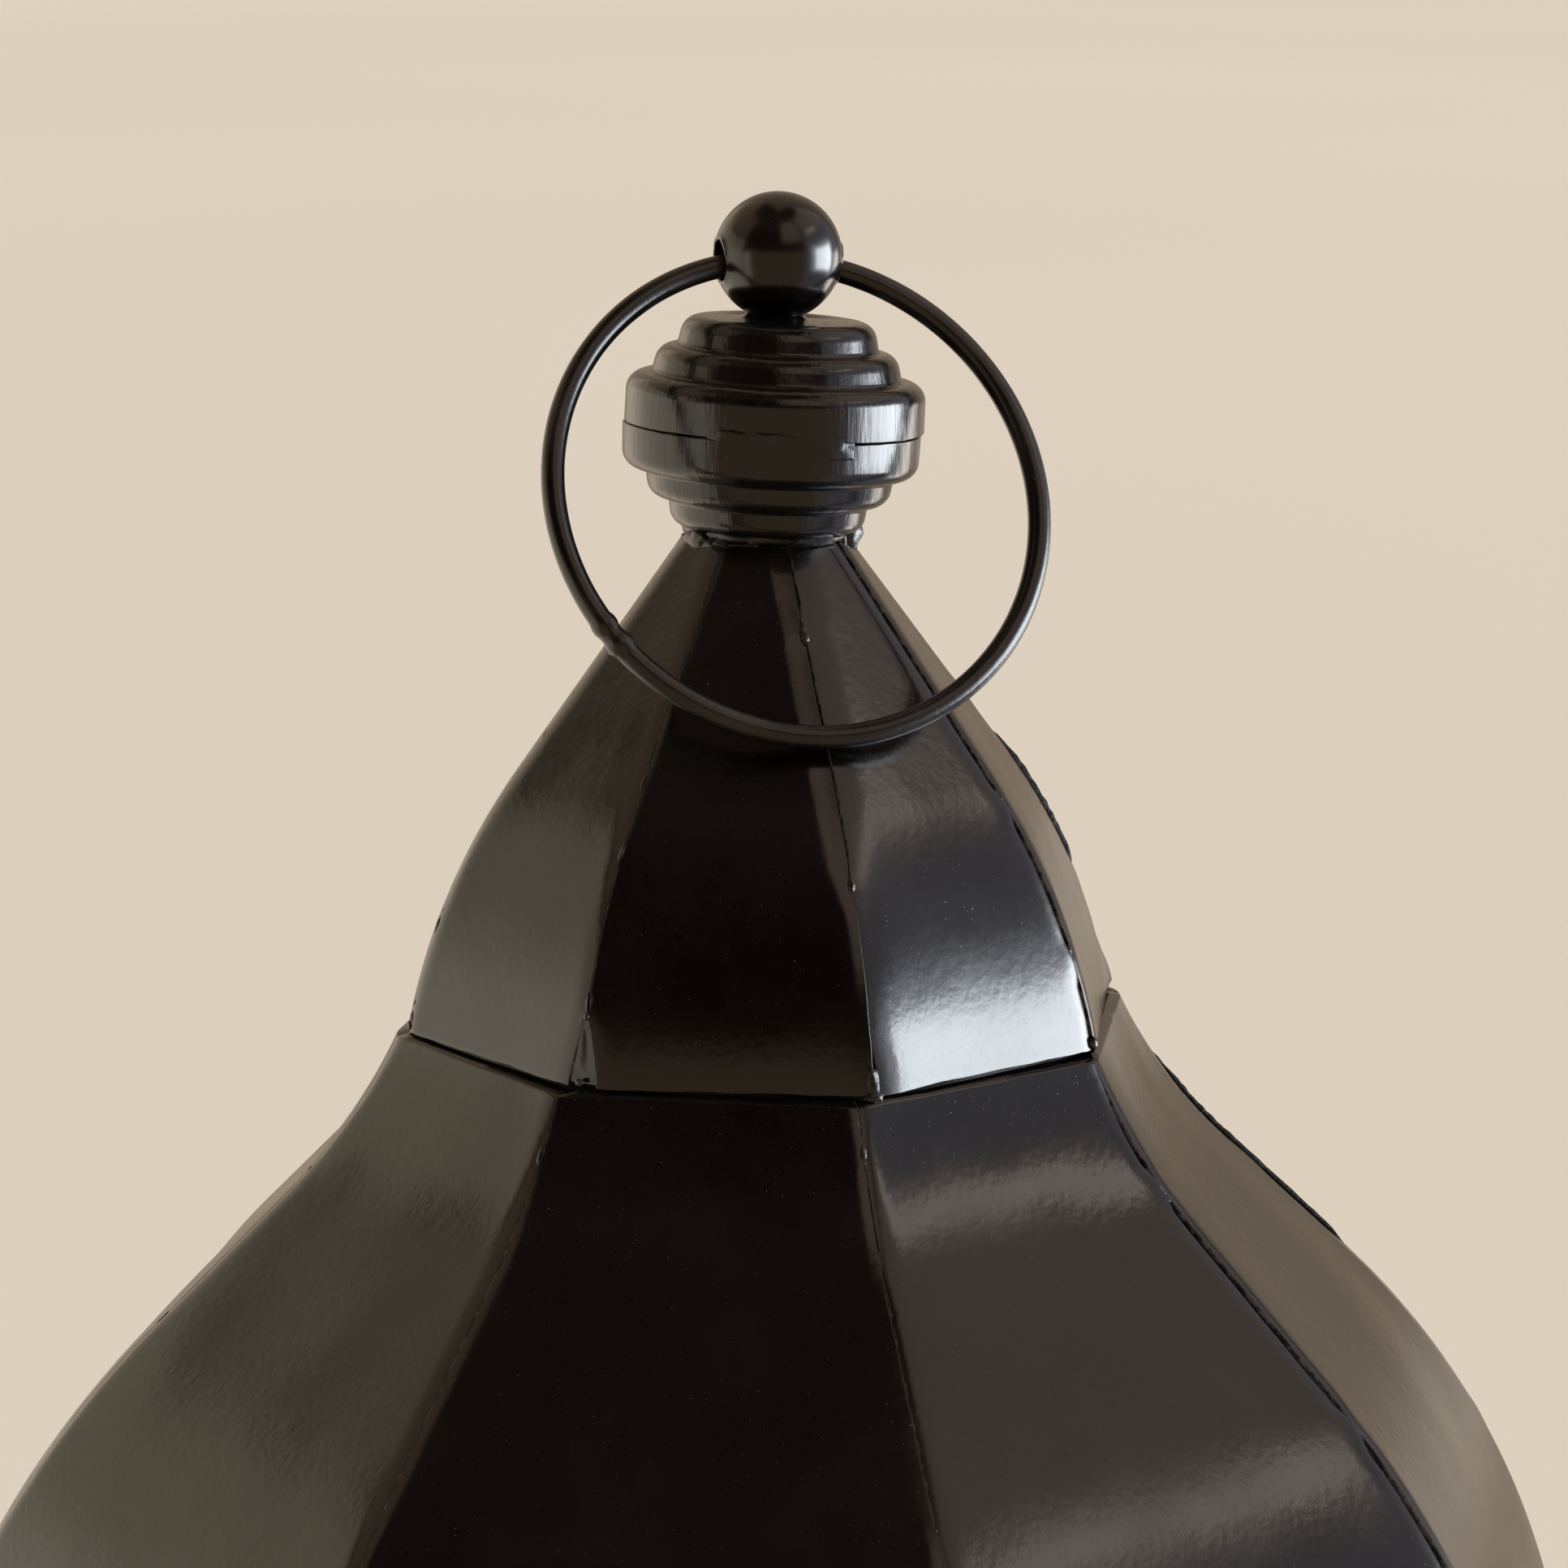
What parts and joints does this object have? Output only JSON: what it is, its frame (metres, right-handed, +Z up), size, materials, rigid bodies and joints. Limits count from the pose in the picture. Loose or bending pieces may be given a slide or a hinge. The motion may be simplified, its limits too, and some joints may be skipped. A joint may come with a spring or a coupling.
{
  "type": "candle lantern",
  "caption": "Octagonal glazed candle lantern with a two-tier domed sheet roof, stepped cap, ball finial, swinging carry ring and a hinged, hook-latched door.",
  "frame": {"origin": "centre of the octagon at the level of the feet, on the standing surface", "axes": "+Z up; -Y is the front, the side with the door; +X to the right when facing the door"},
  "size_m": [0.2652, 0.2652, 0.5999],
  "materials": {
    "roof_paint": "satin black enamel with fine orange peel",
    "finial_paint": "satin black enamel, faint brush streaks",
    "body_paint": "satin black enamel",
    "fitting_paint": "satin black enamel, rubbed at the edges",
    "inner_paint": "dull black, dry spray",
    "dish_paint": "satin black enamel",
    "clear_glass": "clear flat glass"
  },
  "bodies": {
    "lantern": {"plinth": "body_paint", "floor_plate": "body_paint", "foot_1": "body_paint", "foot_2": "body_paint", "foot_3": "body_paint", "foot_4": "body_paint", "post_1": "body_paint", "post_2": "body_paint", "post_3": "body_paint", "post_4": "body_paint", "post_5": "body_paint", "post_6": "body_paint", "post_7": "body_paint", "post_8": "body_paint", "door_surround": "body_paint", "window_1": "body_paint", "window_2": "body_paint", "window_3": "body_paint", "window_4": "body_paint", "window_5": "body_paint", "window_6": "body_paint", "window_7": "body_paint", "glass_1": "clear_glass", "glass_2": "clear_glass", "glass_3": "clear_glass", "glass_4": "clear_glass", "glass_5": "clear_glass", "glass_6": "clear_glass", "glass_7": "clear_glass", "hinge_upper": "fitting_paint", "hinge_lower": "fitting_paint", "latch_stud": "fitting_paint", "frieze": "body_paint", "roof_petal_1": "roof_paint", "roof_petal_2": "roof_paint", "roof_petal_3": "roof_paint", "roof_petal_4": "roof_paint", "roof_petal_5": "roof_paint", "roof_petal_6": "roof_paint", "roof_petal_7": "roof_paint", "roof_petal_8": "roof_paint", "crown_petal_1": "roof_paint", "crown_petal_2": "roof_paint", "crown_petal_3": "roof_paint", "crown_petal_4": "roof_paint", "crown_petal_5": "roof_paint", "crown_petal_6": "roof_paint", "crown_petal_7": "roof_paint", "crown_petal_8": "roof_paint", "collar": "inner_paint", "cap_lower": "finial_paint", "cap_upper": "finial_paint", "finial_ball": "finial_paint", "candle_dish": "dish_paint"},
    "door": {"door_frame": "body_paint", "door_glass": "clear_glass", "door_knob": "fitting_paint", "latch_pivot": "fitting_paint"},
    "latch": {"latch_hook": "fitting_paint"},
    "ring": {"carry_ring": "finial_paint"}
  },
  "joints": [
    {"name": "ring_swing", "type": "hinge", "parent": "lantern", "child": "ring", "pos_m": [0.00199, 0.00094, 0.58845], "axis": [-0.9026, -0.4272, 0.053], "range_deg": [0, 303]},
    {"name": "door_hinge", "type": "hinge", "parent": "lantern", "child": "door", "pos_m": [-0.037, -0.119, 0.17], "axis": [0, 0, -1], "range_deg": [0, 110]},
    {"name": "latch_swing", "type": "hinge", "parent": "door", "child": "latch", "pos_m": [0.0308, -0.1176, 0.165], "axis": [0, 1, 0], "range_deg": [0, 270]}
  ]
}
